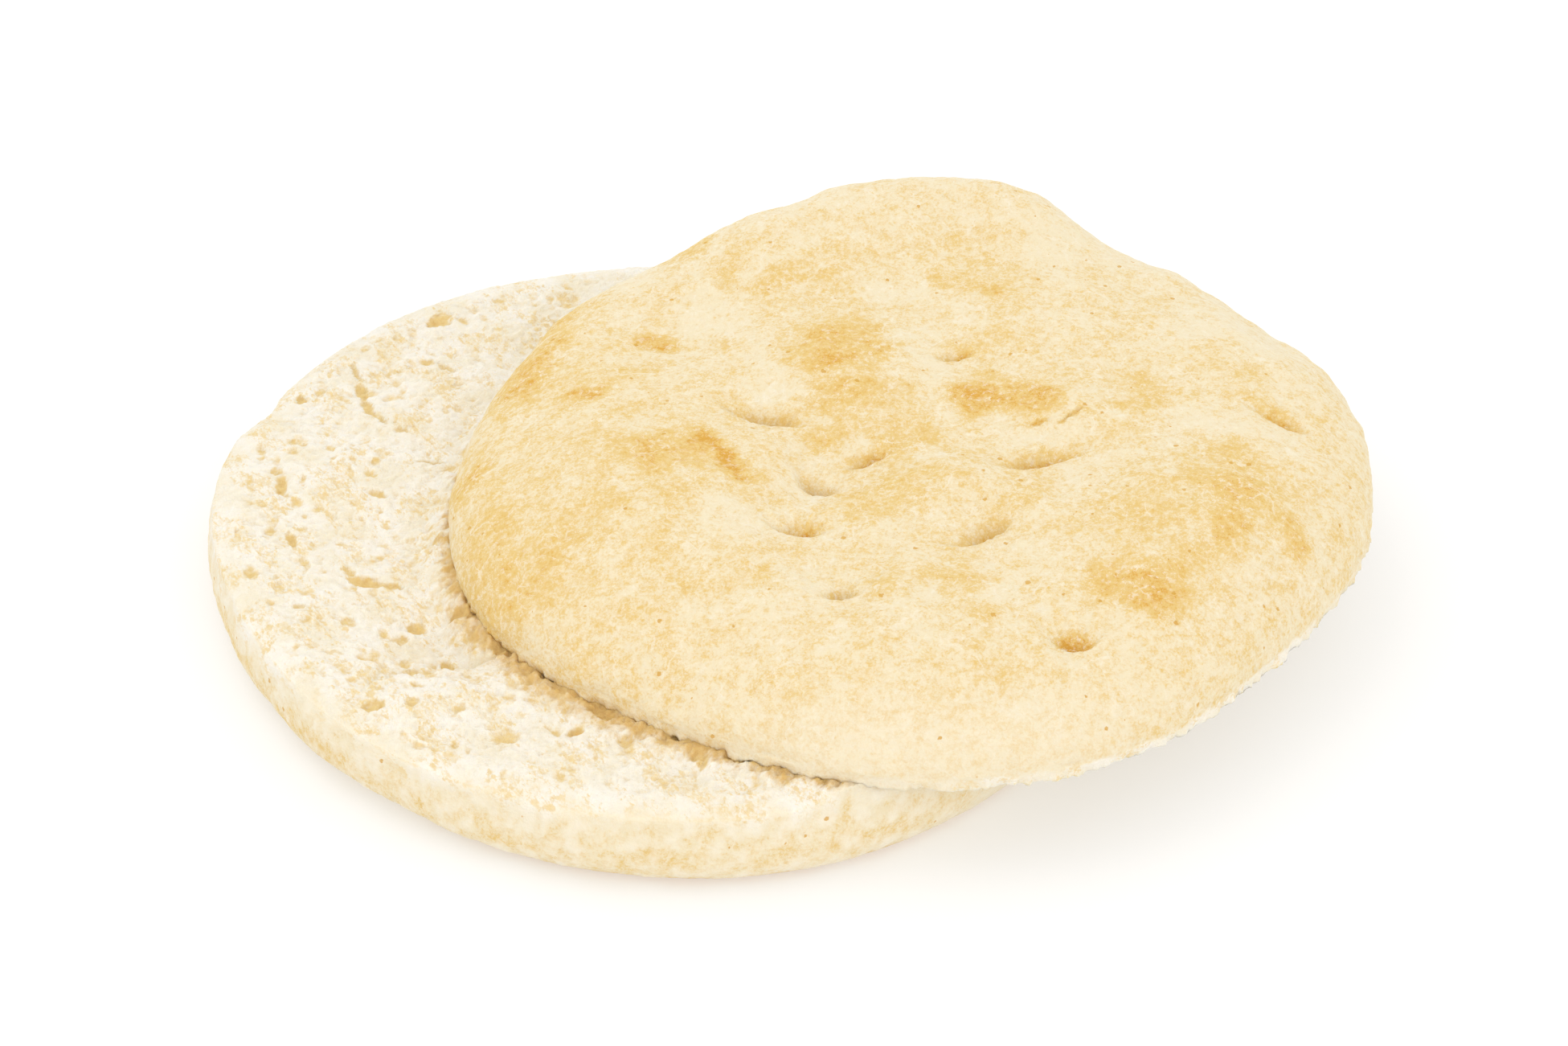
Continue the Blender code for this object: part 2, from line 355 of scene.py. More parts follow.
def wrap_rim(bread, edges, rings, layer, first, last):
    """Extrudes the rim in rings, and numbers them from first to last in the layer. Gives the last edges."""
    for ring in range(1, rings + 1):
        made = bmesh.ops.extrude_edge_only(bread, edges=edges)["geom"]
        edges = [item for item in made if isinstance(item, bmesh.types.BMEdge) and item.is_boundary]
        for vert in (item for item in made if isinstance(item, bmesh.types.BMVert)):
            vert[layer] = first + (last - first) * ring / rings
    return edges


def finish_cells(bread, layer, name):
    """Sinks the cells by their layer, so that their faces can be turned out, and makes the mesh."""
    for vert in bread.verts:
        vert.co.z = -min(vert[layer], 1.0)
    bmesh.ops.recalc_face_normals(bread, faces=bread.faces)
    mesh = bpy.data.meshes.new(name)
    bread.to_mesh(mesh)
    bread.free()
    return mesh


def take(mesh, name):
    """A mesh's positions or normals, or one of its attributes, as an array."""
    if name == "positions":
        values = np.empty(len(mesh.vertices) * 3, np.float32)
        mesh.vertices.foreach_get("co", values)
        return values.reshape(-1, 3).astype(float)
    if name == "normals":
        values = np.empty(len(mesh.vertices) * 3, np.float32)
        mesh.vertex_normals.foreach_get("vector", values)
        return values.reshape(-1, 3).astype(float)
    values = np.empty(len(mesh.vertices), np.float32)
    mesh.attributes[name].data.foreach_get("value", values)
    return values.astype(float)


def give_points(mesh, points):
    """Moves the mesh's vertices to the points."""
    mesh.vertices.foreach_set("co", points.astype(np.float32).ravel())
    mesh.update()


def give_attribute(mesh, name, values):
    """Marks each vertex with a value that the materials read."""
    attribute = mesh.attributes.get(name) or mesh.attributes.new(name, "FLOAT", "POINT")
    attribute.data.foreach_set("value", values.astype(np.float32))


# The cells are drawn on a unit disc first. "stage" is 0 on the crumb face, climbs to 1 down the
# side, and from 1 to 2 under the base.
bread = bmesh.new()
bmesh.ops.create_grid(bread, x_segments=LOWER_CELLS, y_segments=LOWER_CELLS, size=1.0)
layer = bread.verts.layers.float.new("stage")
shown = set()
for face in bread.faces:
    middle = face.calc_center_median()
    x = middle.x * math.sqrt(1.0 - middle.y**2 / 2.0) * LOWER_RADIUS + LOWER_CENTRE[0] - UPPER_CENTRE[0]
    y = middle.y * math.sqrt(1.0 - middle.x**2 / 2.0) * LOWER_RADIUS + LOWER_CENTRE[1] - UPPER_CENTRE[1]
    if math.hypot(x, y) > UPPER_RADIUS - SHOWN_MARGIN:
        shown.add(face)
shown_edges = [edge for edge in bread.edges if not shown.isdisjoint(edge.link_faces)]
bmesh.ops.subdivide_edges(bread, edges=shown_edges, cuts=FINE_CUTS, use_grid_fill=True)
for vert in bread.verts:
    round_the_square(vert)
rim = [edge for edge in bread.edges if edge.is_boundary]
foot = wrap_rim(bread, rim, SIDE_RINGS, layer, 0.0, 1.0)
under = wrap_rim(bread, foot, FOOT_RINGS, layer, 1.0, 2.0)
bmesh.ops.contextual_create(bread, geom=under)
lower_mesh = finish_cells(bread, layer, "lower_bread")

unit = take(lower_mesh, "positions")
stage = take(lower_mesh, "stage")
bearing = np.degrees(np.arctan2(unit[:, 1], unit[:, 0]))
share = np.minimum(np.hypot(unit[:, 0], unit[:, 1]), 1.0)
radius = round_rim(bearing, LOWER_RADIUS, LOWER_LOBES)
east, north = np.cos(np.radians(bearing)), np.sin(np.radians(bearing))

# The crumb face, the side and the base, all smooth. The powers of share keep the middle flat and
# bring the changes to the rim.
on_face = stage == 0.0
face_reach = share * (radius - CUT_EDGE_INSET)
x, y = face_reach * east, face_reach * north
from_edge = (1.0 - share) * radius
edge_drop = EDGE_DROP * np.clip(1.0 - from_edge / EDGE_WIDTH, 0.0, 1.0) ** 2
hollow = CRUMB_HOLLOW * (1.0 - share**4) - swells_at(x, y, CRUMB_SWELLS) * (1.0 - share**10)
side_height = (CUT_EDGE_HEIGHT - EDGE_DROP) * (1.0 - np.minimum(stage, 1.0))
lean = np.clip((side_height - BELLY_HEIGHT) / (CUT_EDGE_HEIGHT - BELLY_HEIGHT), 0.0, 1.0)
drop = np.clip(1.0 - side_height / BELLY_HEIGHT, 0.0, 1.0)
foot_inset = round_rim(bearing, FOOT_INSET, FOOT_LOBES)
inset = CUT_EDGE_INSET * lean**2 + foot_inset * (1.0 - np.sqrt(1.0 - drop * drop))
rim_lean = 1.0 - EDGE_DROP / (CUT_EDGE_HEIGHT - BELLY_HEIGHT)
rim_reach = CUT_EDGE_INSET * (1.0 - rim_lean**2)
side_reach = (radius - inset) * (1.0 - BASE_RUN * np.clip(stage - 1.0, 0.0, 1.0))
reach = np.where(on_face, face_reach + rim_reach * share**20, side_reach)
height = np.where(on_face, CUT_EDGE_HEIGHT - hollow - edge_drop, side_height)
x, y = reach * east, reach * north
give_points(lower_mesh, np.stack([x, y, height], 1))
outward = take(lower_mesh, "normals")

# how far each place lies outside the upper half
upper_x, upper_y = x + LOWER_CENTRE[0] - UPPER_CENTRE[0], y + LOWER_CENTRE[1] - UPPER_CENTRE[1]
upper_bearing = np.degrees(np.arctan2(upper_y, upper_x))
clear = np.hypot(upper_x, upper_y) - round_rim(upper_bearing, UPPER_RADIUS, UPPER_LOBES)

# the torn crumb: soft lumps, the bubbles and the larger pits, and one ledge
past_ledge = turned(x - LEDGE_START[0], y - LEDGE_START[1], LEDGE_HEADING)
wander = LEDGE_WANDER * noise_at(x, y, 0.0, 2.6, 3)
ledge = 1.0 - smooth(past_ledge[1] + wander, -LEDGE_WIDTH, LEDGE_WIDTH)
ledge = ledge * smooth(past_ledge[1] + LEDGE_REACH, 0.0, LEDGE_FADE)
ledge = ledge * smooth(past_ledge[0], 0.0, LEDGE_RUN_UP) * smooth(from_edge, 1.0, 6.0)
calm = 1.0 - 0.5 * smooth(share, *CALM_EDGE)
cells = billows_at(x, y, 7.0, CREASE_SIZE, 3)
lumps = LUMP_RISE * noise_at(x, y, 2.0, LUMP_SIZE, 3) - CREASE_DEPTH * cells + CREASE_LIFT
lumps = lumps + GRANULE_RISE * noise_at(x, y, 4.0, GRANULE_SIZE, 2)
bubbles = dig(x, y, scatter_bubbles(BUBBLES, BUBBLE_SIZES, LOWER_RADIUS - BUBBLE_MARGIN, LOWER_SEED))
pits = dig(x, y, TORN_PITS)
torn_height = height + lumps * calm + LEDGE_RISE * ledge

# next to the upper half the crumb comes up to the height of the cut
touching = 1.0 - smooth(clear + 0.8 * noise_at(x, y, 6.0, 3.0, 3), 0.0, TOUCH_WIDTH)
crumbs = 0.9 * lumps + 0.55 * noise_at(x, y, 8.0, 1.2, 3)
torn_height = torn_height + np.maximum(CUT_HEIGHT + TOUCH_LIFT + crumbs - torn_height, 0.0) * touching
torn_height = torn_height - np.maximum(BUBBLE_DUG * bubbles * calm, PIT_DUG * pits)

# it stays below the cut, and comes up past it only at the upper half's rim and outside it
most = CUT_HEIGHT - UNDER_CUT + 0.9 * smooth(clear, -2.0, -0.6) + 1.4 * smooth(clear, -0.2, 2.0)
most = most + 0.7 * smooth(clear, -1.5, 0.0) * noise_at(x, y, 11.0, 1.3, 3)
torn_height = np.minimum(torn_height, most)

# The skin of the side is slightly uneven between its top edge and its foot, and the top edge is
# as torn as the crumb.
skin = WAVE_RISE * noise_at(x, y, height, WAVE_SIZE, 2)
skin = skin + WRINKLE_RISE * noise_at(x, y, height, WRINKLE_SIZE, 4)
skin = skin * np.clip(stage * 8.0, 0.0, 1.0) * np.clip((1.0 - stage) * 6.0, 0.0, 1.0)
torn_edge = height + lumps * calm * np.clip(1.0 - 5.0 * stage, 0.0, 1.0)
points = np.stack([x, y, np.where(on_face, torn_height, torn_edge)], 1)
points += outward * np.where(on_face | (stage > 1.0), 0.0, skin)[:, None]
points[:, 2] = np.maximum(points[:, 2], 0.0)
points = (points + np.array([*LOWER_CENTRE, 0.0])) * MM
give_points(lower_mesh, points)

# where the crumb shows past the skin
front = bell(turn_from(bearing, TORN_FRONT[0]) / TORN_FRONT[1])
inward = np.where(on_face, from_edge, -CUT_EDGE_HEIGHT * np.minimum(stage, 1.0))
crumb_edge = -CRUMB_OVER + FRONT_SKIN * front + SKIN_EDGE_WANDER * noise_at(x, y, 3.0, 4.0, 5)
crumb = smooth(inward - crumb_edge, -2.6, 1.4)

# painted shade: how dark the crumb is painted next to the upper half, and how golden in bubbles, creases
# and on steep slopes
nook = bell(turn_from(upper_bearing, NOOK[0]) / NOOK[1])
shade_width = SHADE_WIDTH + NOOK_WIDTH * nook
shade = 1.0 - smooth(clear + 1.6 * noise_at(x, y, 5.0, 1.4, 4), -0.4, shade_width)
crease_and_slope_shade = smooth(cells, 0.35, 0.8) + smooth(1.0 - take(lower_mesh, "normals")[:, 2], 0.05, 0.5)
sunk = np.maximum(0.9 * bubbles * calm, pits)

# how brown and how floury the skin is: a golden band round the side, and a brown line at the foot that is
# partly a browned edge and partly painted contact shade
band = bell((stage - GOLDEN_BAND[0]) / GOLDEN_BAND[1])
golden = 0.55 + 0.45 * bell(turn_from(bearing, GOLDEN_SIDE[0]) / GOLDEN_SIDE[1])
uneven_band = 1.0 + 0.9 * noise_at(x, y, height, 7.0, 5)
browning = PALE_SKIN + BAND_BROWNING * golden * band * uneven_band
foot_line = smooth(stage, *FOOT_LINE)
browning = np.where(stage > 1.0, 1.0, browning + FOOT_BROWNING_AND_SHADE * foot_line)
flour = 0.45 - 0.35 * golden * band + 0.9 * noise_at(x, y, height, 2.2, 4)
flour = np.where(stage > 1.0, 0.0, np.clip(flour, 0.0, 0.9) * (1.0 - foot_line))
give_attribute(lower_mesh, "crumb", crumb)
give_attribute(lower_mesh, "hollow_shade", np.where(on_face, np.clip(sunk + 0.5 * crease_and_slope_shade, 0.0, 2.0), 0.0))
give_attribute(lower_mesh, "shade", np.where(on_face, shade, 0.0))
give_attribute(lower_mesh, "browning", np.where(on_face, PALE_SKIN, browning))
give_attribute(lower_mesh, "flour", np.where(on_face, 0.6, flour))
lower_mesh.shade_smooth()

# ---------------------------------------------------------------- the lower half's crumb and skin
# Crumb is white and soft, painted golden as shade in its bubbles and creases. Crust is a thin golden
# skin that browns on the raised parts and is dusted with flour. Both halves are made of the two.


def wire(tree, kind, sockets=None, **settings):
    """Adds a shader node. sockets gives each input a value or the output that feeds it."""
    node = tree.nodes.new(kind)
    for name, value in settings.items():
        setattr(node, name, value)
    for name, value in (sockets or {}).items():
        if isinstance(value, bpy.types.NodeSocket):
            tree.links.new(value, node.inputs[name])
        else:
            node.inputs[name].default_value = value
    return node


def combine(tree, operation, first, second=0.5, third=0.5):
    """The output of a Math node."""
    return wire(tree, "ShaderNodeMath", {0: first, 1: second, 2: third}, operation=operation).outputs[0]


def ramp(tree, value, low, high):
    """0 below low, 1 above high, and a soft climb between."""
    sockets = {"Value": value, "From Min": low, "From Max": high}
    return wire(tree, "ShaderNodeMapRange", sockets, interpolation_type="SMOOTHSTEP").outputs["Result"]


def tint(tree, amount, under, over):
    """One colour laid over another by an amount."""
    node = tree.nodes.new("ShaderNodeMix")
    node.data_type = "RGBA"
    for socket, value in ((node.inputs[0], amount), (node.inputs[6], under), (node.inputs[7], over)):
        if isinstance(value, bpy.types.NodeSocket):
            tree.links.new(value, socket)
        elif isinstance(value, tuple):
            socket.default_value = (*value, 1.0)
        else:
            socket.default_value = value
    return node.outputs[2]


def grain(tree, place, size, detail=2.0, roughness=0.5, warp=0.0):
    """Noise from 0 to 1 with lumps about size millimetres across."""
    sockets = {
        "Vector": place,
        "Scale": 1.0 / (size * MM),
        "Detail": detail,
        "Roughness": roughness,
        "Distortion": warp,
    }
    return wire(tree, "ShaderNodeTexNoise", sockets).outputs["Fac"]


def uneven(tree, value, place, size, amount, detail=3.0, roughness=0.6, warp=0.0):
    """Adds noise to a value, by up to about half the amount up and down."""
    shifted = combine(tree, "SUBTRACT", grain(tree, place, size, detail, roughness, warp), 0.5)
    return combine(tree, "MULTIPLY_ADD", shifted, amount, value)


def bend(tree, place, size, amount):
    """The place pushed about by noise, so that what is drawn with it turns out ragged."""
    sway = wire(tree, "ShaderNodeTexNoise", {"Vector": place, "Scale": 1.0 / (size * MM), "Detail": 3.0})
    sockets = {0: sway.outputs["Color"], 1: (amount * MM, amount * MM, amount * MM), 2: place}
    return wire(tree, "ShaderNodeVectorMath", sockets, operation="MULTIPLY_ADD").outputs[0]


def specks(tree, place, spacing, size, share):
    """A mask of round specks, one in a share of the cells of a random lattice."""
    sockets = {"Vector": place, "Scale": 1.0 / (spacing * MM)}
    cells = wire(tree, "ShaderNodeTexVoronoi", sockets)
    chance = wire(tree, "ShaderNodeSeparateColor", {"Color": cells.outputs["Color"]}).outputs[0]
    spare = combine(tree, "SUBTRACT", chance, 1.0 - share)
    radius = combine(tree, "MULTIPLY", spare, size / spacing / share)
    return ramp(tree, combine(tree, "SUBTRACT", radius, cells.outputs["Distance"]), 0.0, 0.03)


def new_group(name, inputs, outputs):
    """A shader node group. Each input and output is a name with the kind of its socket."""
    group = bpy.data.node_groups.new(name, "ShaderNodeTree")
    for label, kind in inputs:
        group.interface.new_socket(label, in_out="INPUT", socket_type="NodeSocket" + kind)
    for label, kind in outputs:
        group.interface.new_socket(label, in_out="OUTPUT", socket_type="NodeSocket" + kind)
    return group, group.nodes.new("NodeGroupInput"), group.nodes.new("NodeGroupOutput")


CRUMB_WHITE = (0.838, 0.79, 0.692)
CRUMB_CREAM = (0.805, 0.73, 0.572)
CRUMB_GOLD = (0.755, 0.565, 0.255)
# painted shade colour of the deepest bubbles
CRUMB_DEEP_SHADE = (0.68, 0.41, 0.12)
# painted shade colour of the crumb next to the upper half
CRUMB_SHADED = (0.66, 0.44, 0.165)
CLOUD_SIZE = 6.0  # cream clouds in the white
CLUSTER_SIZE = 3.8  # the golden grains lie in clusters
CELL_SIZE = 0.9
TINY_SIZE = 0.4
PULL = 0.6  # the lower, the further the tear drew the grains out

crumb_look, given, result = new_group(
    "crumb",
    (("Place", "Vector"), ("Hollow Shade", "Float"), ("Shade", "Float")),
    (("Colour", "Color"), ("Height", "Float")),
)
place = given.outputs["Place"]
cloud = ramp(crumb_look, grain(crumb_look, place, CLOUD_SIZE, 4.0, 0.6), 0.38, 0.66)
# the tear drew the golden grains out, so their pattern is stretched along it
sockets = {"Vector": place, "Angle": -math.radians(TEAR_HEADING)}
along_tear = wire(crumb_look, "ShaderNodeVectorRotate", sockets, rotation_type="Z_AXIS").outputs[0]
sockets = {0: along_tear, 1: (PULL, 1.0, 1.0)}
pulled = wire(crumb_look, "ShaderNodeVectorMath", sockets, operation="MULTIPLY").outputs[0]
clusters = ramp(crumb_look, grain(crumb_look, pulled, CLUSTER_SIZE, 3.0, 0.6), 0.36, 0.62)
cells = uneven(crumb_look, clusters, pulled, CELL_SIZE, 4.2, roughness=0.65)
cells = ramp(crumb_look, cells, 0.95, 1.45)
tiny = ramp(crumb_look, uneven(crumb_look, clusters, pulled, TINY_SIZE, 3.8), 0.7, 1.4)
colour = tint(crumb_look, cloud, CRUMB_WHITE, CRUMB_CREAM)
colour = tint(crumb_look, combine(crumb_look, "MULTIPLY", cells, 0.7), colour, CRUMB_GOLD)
colour = tint(crumb_look, combine(crumb_look, "MULTIPLY", tiny, 0.5), colour, CRUMB_GOLD)
# painted shade: inside the bubbles and creases, on steep slopes and next to the upper half, it is painted
# golden to brown
sunken = uneven(crumb_look, given.outputs["Hollow Shade"], place, 0.7, 1.5)
colour = tint(crumb_look, ramp(crumb_look, sunken, 0.2, 1.5), colour, CRUMB_GOLD)
colour = tint(crumb_look, ramp(crumb_look, sunken, 1.4, 2.8), colour, CRUMB_DEEP_SHADE)
dim = uneven(crumb_look, given.outputs["Shade"], place, 1.0, 1.0)
colour = tint(crumb_look, ramp(crumb_look, dim, 0.1, 1.1), colour, CRUMB_SHADED)
crumb_look.links.new(colour, result.inputs["Colour"])
rough = combine(crumb_look, "MULTIPLY", grain(crumb_look, place, 0.9, 4.0, 0.7), 1.4)
crumb_look.links.new(rough, result.inputs["Height"])

Mottle = namedtuple("Mottle", "size amount detail roughness warp")
Bran = namedtuple("Bran", "spacing size share strength colour")

CRUST_PALE = (0.765, 0.665, 0.465)
CRUST_GOLD = (0.705, 0.495, 0.18)
CRUST_BROWN = (0.64, 0.345, 0.055)
FLOUR_WHITE = (0.80, 0.73, 0.585)
SPECK_BROWN = (0.60, 0.33, 0.05)
SPECK_BLACK = (0.10, 0.06, 0.03)
# the browning is uneven at four sizes, from broad patches down to single grains
MOTTLES = (
    Mottle(14.0, 1.1, 2.0, 0.6, 0.0),
    Mottle(4.5, 2.3, 3.0, 0.6, 0.3),
    Mottle(1.3, 3.5, 3.0, 0.75, 0.3),
    Mottle(0.4, 3.6, 3.0, 0.6, 0.0),
)
# a few specks of bran are brown, and fewer are nearly black
BRAN = (
    Bran(2.4, 0.42, 0.45, 0.8, SPECK_BROWN),
    Bran(5.5, 0.26, 0.15, 0.85, SPECK_BLACK),
)
DUST_SIZE = 0.8
CRACK_SPACING = 7.0  # fine pale cracks in the skin
CRACK_STRENGTH = 0.55
GRAIN_SIZE = 0.45

crust_look, given, result = new_group(
    "crust",
    (("Place", "Vector"), ("Browning", "Float"), ("Flour", "Float")),
    (("Colour", "Color"), ("Height", "Float")),
)
place = given.outputs["Place"]
toned = given.outputs["Browning"]
for mottle in MOTTLES:
    toned = uneven(crust_look, toned, place, *mottle)
colour = tint(crust_look, ramp(crust_look, toned, -0.7, 1.3), CRUST_PALE, CRUST_GOLD)
colour = tint(crust_look, ramp(crust_look, toned, 1.1, 2.5), colour, CRUST_BROWN)
# flour lies on it as dust, along the thin cracks of the skin, and thicker where the mesh is marked
dust = ramp(crust_look, grain(crust_look, place, DUST_SIZE, 4.0, 0.75, 0.25), 0.52, 0.62)
dusted = combine(crust_look, "MULTIPLY", dust, grain(crust_look, place, 6.0, 2.0))
colour = tint(crust_look, dusted, colour, FLOUR_WHITE)
sockets = {"Vector": bend(crust_look, place, 2.2, 4.0), "Scale": 1.0 / (CRACK_SPACING * MM)}
cracks = wire(crust_look, "ShaderNodeTexVoronoi", sockets, feature="DISTANCE_TO_EDGE").outputs["Distance"]
veins = combine(crust_look, "SUBTRACT", 1.0, ramp(crust_look, cracks, 0.0, 0.035))
vein_places = ramp(crust_look, grain(crust_look, place, 5.0, 3.0), 0.48, 0.6)
veins = combine(crust_look, "MULTIPLY", veins, vein_places)
veins = combine(crust_look, "MULTIPLY", veins, CRACK_STRENGTH)
colour = tint(crust_look, veins, colour, FLOUR_WHITE)
colour = tint(crust_look, given.outputs["Flour"], colour, FLOUR_WHITE)
ragged = bend(crust_look, place, 0.5, 0.6)
for bran in BRAN:
    mask = specks(crust_look, ragged, bran.spacing, bran.size, bran.share)
    mask = combine(crust_look, "MULTIPLY", mask, bran.strength)
    colour = tint(crust_look, mask, colour, bran.colour)
crust_look.links.new(colour, result.inputs["Colour"])
crust_look.links.new(grain(crust_look, place, GRAIN_SIZE, 3.0, 0.6), result.inputs["Height"])


def place_group(tree, group, sockets):
    """Adds a shader node group, with what feeds each of its inputs."""
    node = tree.nodes.new("ShaderNodeGroup")
    node.node_tree = group
    for name, value in sockets.items():
        tree.links.new(value, node.inputs[name])
    return node


GRAIN_HEIGHT = 0.3  # only the finest grain is bump
LIGHT_DEPTH = 1.0  # the light goes this deep into the bread


def bread_material(name):
    """Crumb and crust in one surface, parted by the mesh's own marks."""
    material = bpy.data.materials.new(name)
    material.use_nodes = True
    tree = material.node_tree
    surface = tree.nodes["Principled BSDF"]
    where = wire(tree, "ShaderNodeTexCoord").outputs["Object"]
    mark = {}
    for attribute in ("crumb", "hollow_shade", "shade", "browning", "flour"):
        mark[attribute] = wire(tree, "ShaderNodeAttribute", attribute_name=attribute).outputs["Fac"]
    feeds = {"Place": where, "Hollow Shade": mark["hollow_shade"], "Shade": mark["shade"]}
    torn = place_group(tree, crumb_look, feeds)
    feeds = {"Place": where, "Browning": mark["browning"], "Flour": mark["flour"]}
    baked = place_group(tree, crust_look, feeds)
    colour = tint(tree, mark["crumb"], baked.outputs["Colour"], torn.outputs["Colour"])
    tree.links.new(colour, surface.inputs["Base Color"])
    height = combine(tree, "MULTIPLY_ADD", torn.outputs["Height"], mark["crumb"], baked.outputs["Height"])
    bump = wire(tree, "ShaderNodeBump", {"Height": height, "Strength": 0.6, "Distance": GRAIN_HEIGHT * MM})
    tree.links.new(bump.outputs["Normal"], surface.inputs["Normal"])
    surface.inputs["Roughness"].default_value = 0.85
    surface.inputs["Specular IOR Level"].default_value = 0.2
    surface.inputs["Subsurface Weight"].default_value = 0.6
    surface.inputs["Subsurface Radius"].default_value = (1.0, 0.9, 0.7)
    surface.inputs["Subsurface Scale"].default_value = LIGHT_DEPTH * MM
    return material


lower_mesh.materials.append(bread_material("lower bread"))
lower = bpy.data.objects.new("lower_bread", lower_mesh)
bpy.context.scene.collection.objects.link(lower)
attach(lower, "root")
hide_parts("lower_half")

# ---------------------------------------------------------------- the upper half
# The top of the roll: a thin golden crust, pressed with dimples before baking, over the same
# crumb. It was cut off level, slid aside and lies loose on the lower half.

Dimple = namedtuple("Dimple", "x y depth wide reach bend heading lean")

LIP_HEIGHT = 2.2
LIP_INSET = 0.2
CROWN_HEIGHT = 13.0
SHOULDER = 24.0
SHOULDER_LOBES = (
    Lobe(90, -11.0, 28),
    Lobe(145, -7.0, 20),
    Lobe(15, -4.0, 20),
)
CRUST_SWELLS = (
    Swell(-34, -14, 2.6, 20),
    Swell(-10, 14, 2.6, 13),
    Swell(-4, 54, 5.4, 14),
    Swell(16, 56, 4.8, 11),
    Swell(16, 28, 2.2, 13),
    Swell(-20, 40, 1.2, 12),
    Swell(42, 20, 0.8, 12),
    Swell(38, -22, 2.6, 17),
    Swell(4, -14, 2.0, 9),
    Swell(22, 4, 2.2, 9),
    Swell(-6, -48, 0.8, 14),
    Swell(-26, 51, 3.4, 11),
    Swell(5, 60, 1.0, 6),
    Swell(30, 56, -1.0, 4.5),
    Swell(38, 42, 1.6, 8),
    Swell(52, 30, -2.2, 6),
    Swell(-34, 26, -1.2, 10),
)
# Each dimple was poked with a finger tip: a sharp lip at its front edge, the deepest point just
# behind it, and a slope up at the back. lean moves the deepest point to one side.
DIMPLES = (
    Dimple(-22.9, 2.0, 4.0, 4.6, 2.0, 0.03, -24, 0.6),
    Dimple(-15.4, -13.4, 5.6, 2.4, 2.2, 0.12, -38, 0.3),
    Dimple(-6.8, -6.9, 2.6, 2.6, 1.6, 0.03, 30, -0.3),
    Dimple(-17.2, -24.2, 3.1, 3.0, 2.0, 0.06, -8, 0.3),
    Dimple(7.2, -25.0, 3.5, 3.6, 2.1, 0.04, 27, 0.6),
    Dimple(-11.3, -38.1, 3.6, 1.8, 2.6, 0.1, 4, 0.0),
    Dimple(18.8, -46.4, 2.6, 2.6, 2.4, 0.14, 5, 0.0),
    Dimple(5.6, 16.6, 2.0, 2.4, 1.6, 0.03, 18, -0.3),
    Dimple(17.0, -8.3, 2.9, 4.7, 2.2, 0.02, 16, -0.3),
    Dimple(49.0, 3.2, 2.1, 3.8, 1.9, 0.03, -28, 0.4),
    Dimple(-36.5, 20.6, 0.5, 3.8, 2.6, 0.02, -8, 0.0),
)
DISH_SHARE = 0.28  # of a dimple's depth, the rest being its pit
DISH_SIZE = (8.0, 6.5)
FRONT_LIP = 0.4
FULL_DEPTH = 3.0  # a dimple this deep gets its painted shade and its pleats in full
CRACKS = (
    Pit(16.2, 0.3, 0.4, 1.8, 0.45, 5),
    Pit(20.6, 1.2, 0.45, 2.4, 0.45, 38),
    Pit(-30.0, -4.6, 0.15, 1.8, 1.2, 0),
    Pit(-28.0, -6.6, 0.15, 2.0, 1.2, -60),
    Pit(-26.4, -10.4, 0.15, 2.6, 1.2, -58),
    Pit(-24.2, -14.2, 0.25, 1.5, 0.9, -20),
)
